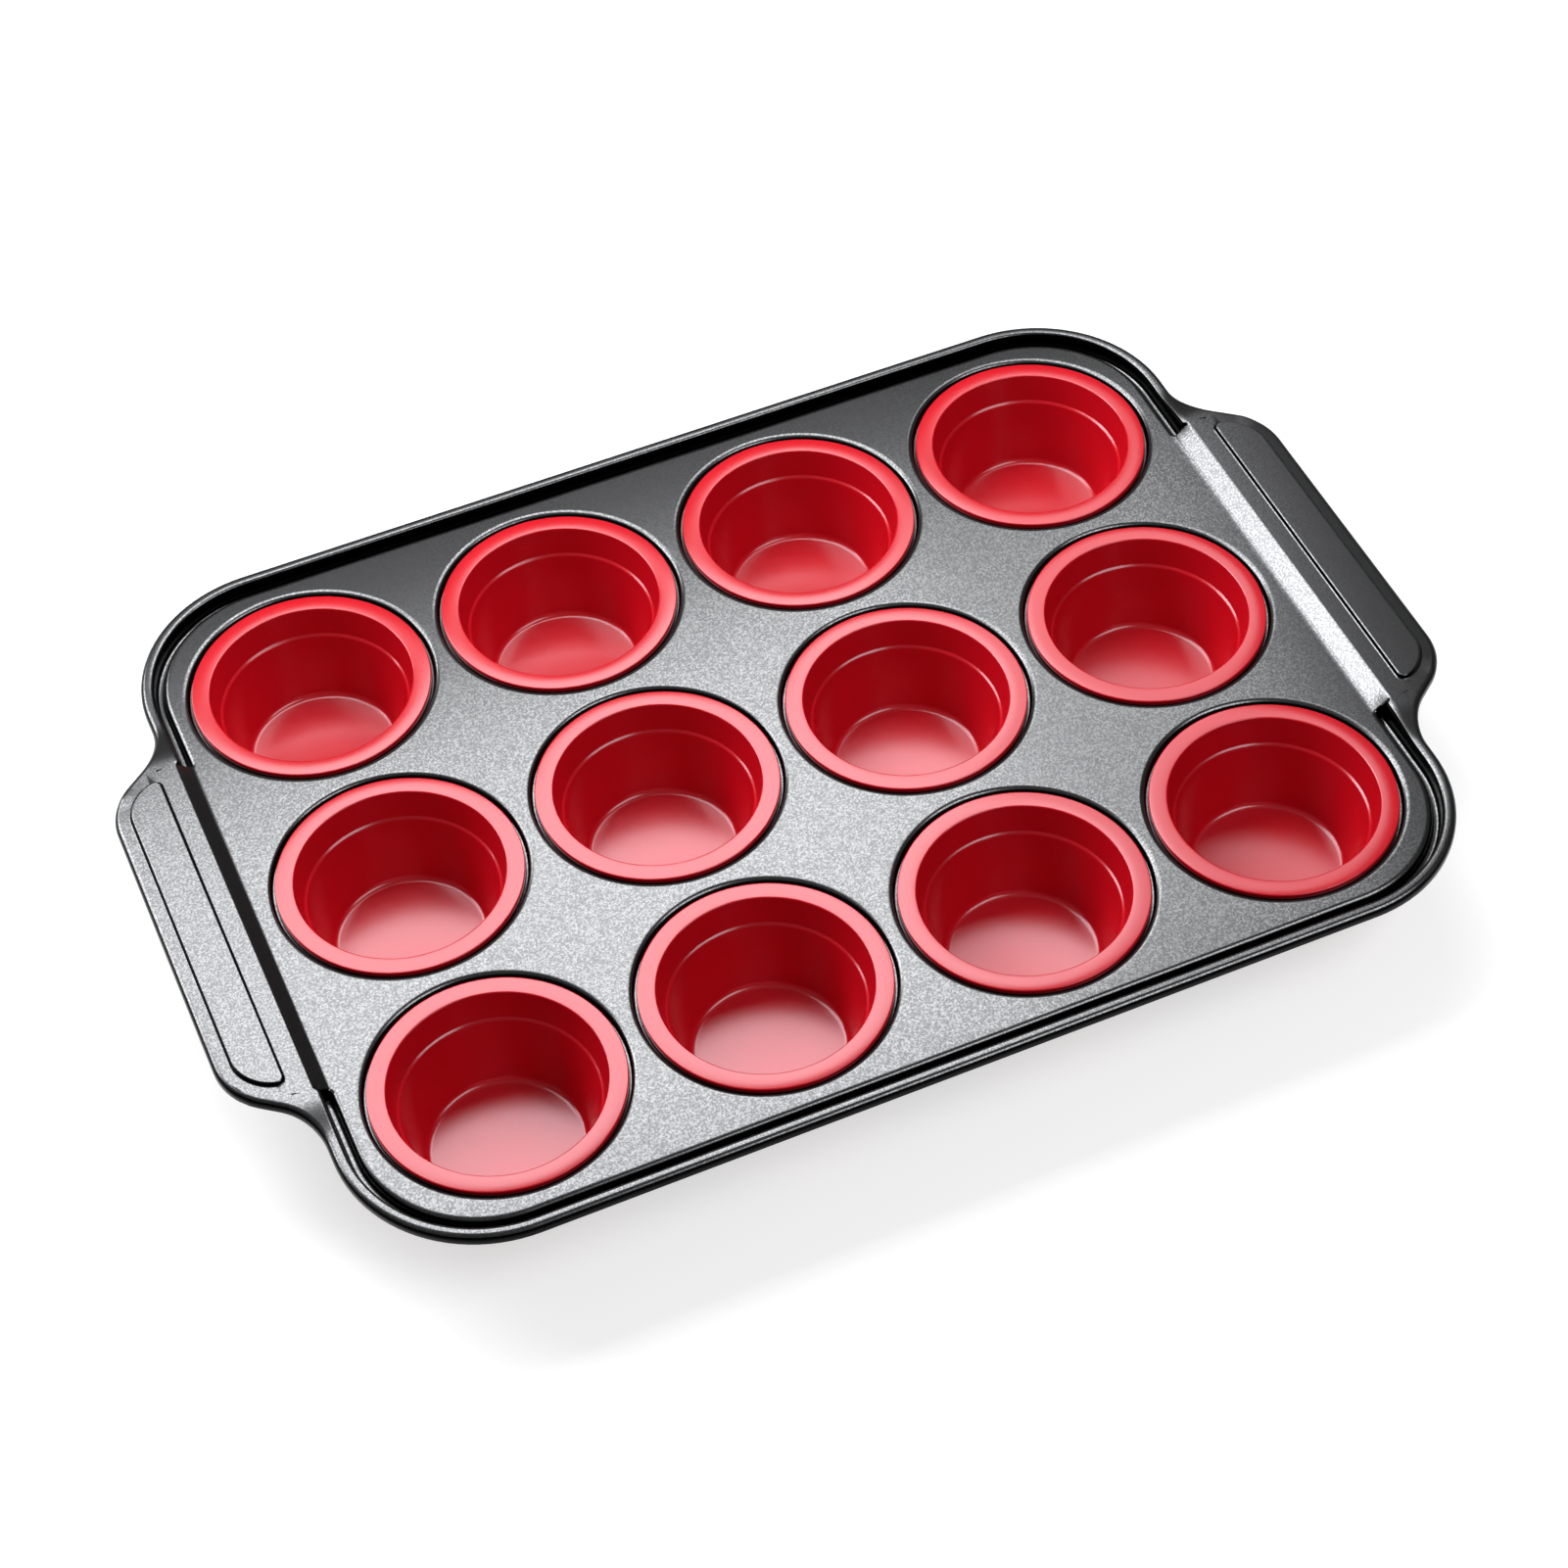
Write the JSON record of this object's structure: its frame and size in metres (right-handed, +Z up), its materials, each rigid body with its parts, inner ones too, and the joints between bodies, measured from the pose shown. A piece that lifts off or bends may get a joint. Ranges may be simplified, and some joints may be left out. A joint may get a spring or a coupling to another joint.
{
  "type": "muffin pan",
  "caption": "Rectangular coated steel baking tray with end handles and round seats, each holding a flanged silicone cup that lifts out.",
  "frame": {"origin": "middle of the pan on the surface it stands on, under the cups' bases", "axes": "+X from handle to handle, +Y across the tray, +Z up out of the cups' mouths"},
  "size_m": [0.4, 0.2758, 0.0388],
  "materials": {
    "tray": "charcoal non-stick coating with a fine speckle, semi-gloss, over pressed carbon steel",
    "silicone": "red food-grade silicone, smooth satin"
  },
  "bodies": {
    "tray": {"tray": "tray"},
    "cup_row1_col1": {"cup_row1_col1": "silicone"},
    "cup_row1_col2": {"cup_row1_col2": "silicone"},
    "cup_row1_col3": {"cup_row1_col3": "silicone"},
    "cup_row1_col4": {"cup_row1_col4": "silicone"},
    "cup_row2_col1": {"cup_row2_col1": "silicone"},
    "cup_row2_col2": {"cup_row2_col2": "silicone"},
    "cup_row2_col3": {"cup_row2_col3": "silicone"},
    "cup_row2_col4": {"cup_row2_col4": "silicone"},
    "cup_row3_col1": {"cup_row3_col1": "silicone"},
    "cup_row3_col2": {"cup_row3_col2": "silicone"},
    "cup_row3_col3": {"cup_row3_col3": "silicone"},
    "cup_row3_col4": {"cup_row3_col4": "silicone"}
  },
  "joints": [
    {"name": "cup_row1_col1_lift", "type": "slide", "parent": "tray", "child": "cup_row1_col1", "axis": [0, 0, 1], "range_m": [0, 0.045]},
    {"name": "cup_row1_col2_lift", "type": "slide", "parent": "tray", "child": "cup_row1_col2", "axis": [0, 0, 1], "range_m": [0, 0.045]},
    {"name": "cup_row1_col3_lift", "type": "slide", "parent": "tray", "child": "cup_row1_col3", "axis": [0, 0, 1], "range_m": [0, 0.045]},
    {"name": "cup_row1_col4_lift", "type": "slide", "parent": "tray", "child": "cup_row1_col4", "axis": [0, 0, 1], "range_m": [0, 0.045]},
    {"name": "cup_row2_col1_lift", "type": "slide", "parent": "tray", "child": "cup_row2_col1", "axis": [0, 0, 1], "range_m": [0, 0.045]},
    {"name": "cup_row2_col2_lift", "type": "slide", "parent": "tray", "child": "cup_row2_col2", "axis": [0, 0, 1], "range_m": [0, 0.045]},
    {"name": "cup_row2_col3_lift", "type": "slide", "parent": "tray", "child": "cup_row2_col3", "axis": [0, 0, 1], "range_m": [0, 0.045]},
    {"name": "cup_row2_col4_lift", "type": "slide", "parent": "tray", "child": "cup_row2_col4", "axis": [0, 0, 1], "range_m": [0, 0.045]},
    {"name": "cup_row3_col1_lift", "type": "slide", "parent": "tray", "child": "cup_row3_col1", "axis": [0, 0, 1], "range_m": [0, 0.045]},
    {"name": "cup_row3_col2_lift", "type": "slide", "parent": "tray", "child": "cup_row3_col2", "axis": [0, 0, 1], "range_m": [0, 0.045]},
    {"name": "cup_row3_col3_lift", "type": "slide", "parent": "tray", "child": "cup_row3_col3", "axis": [0, 0, 1], "range_m": [0, 0.045]},
    {"name": "cup_row3_col4_lift", "type": "slide", "parent": "tray", "child": "cup_row3_col4", "axis": [0, 0, 1], "range_m": [0, 0.045]}
  ]
}
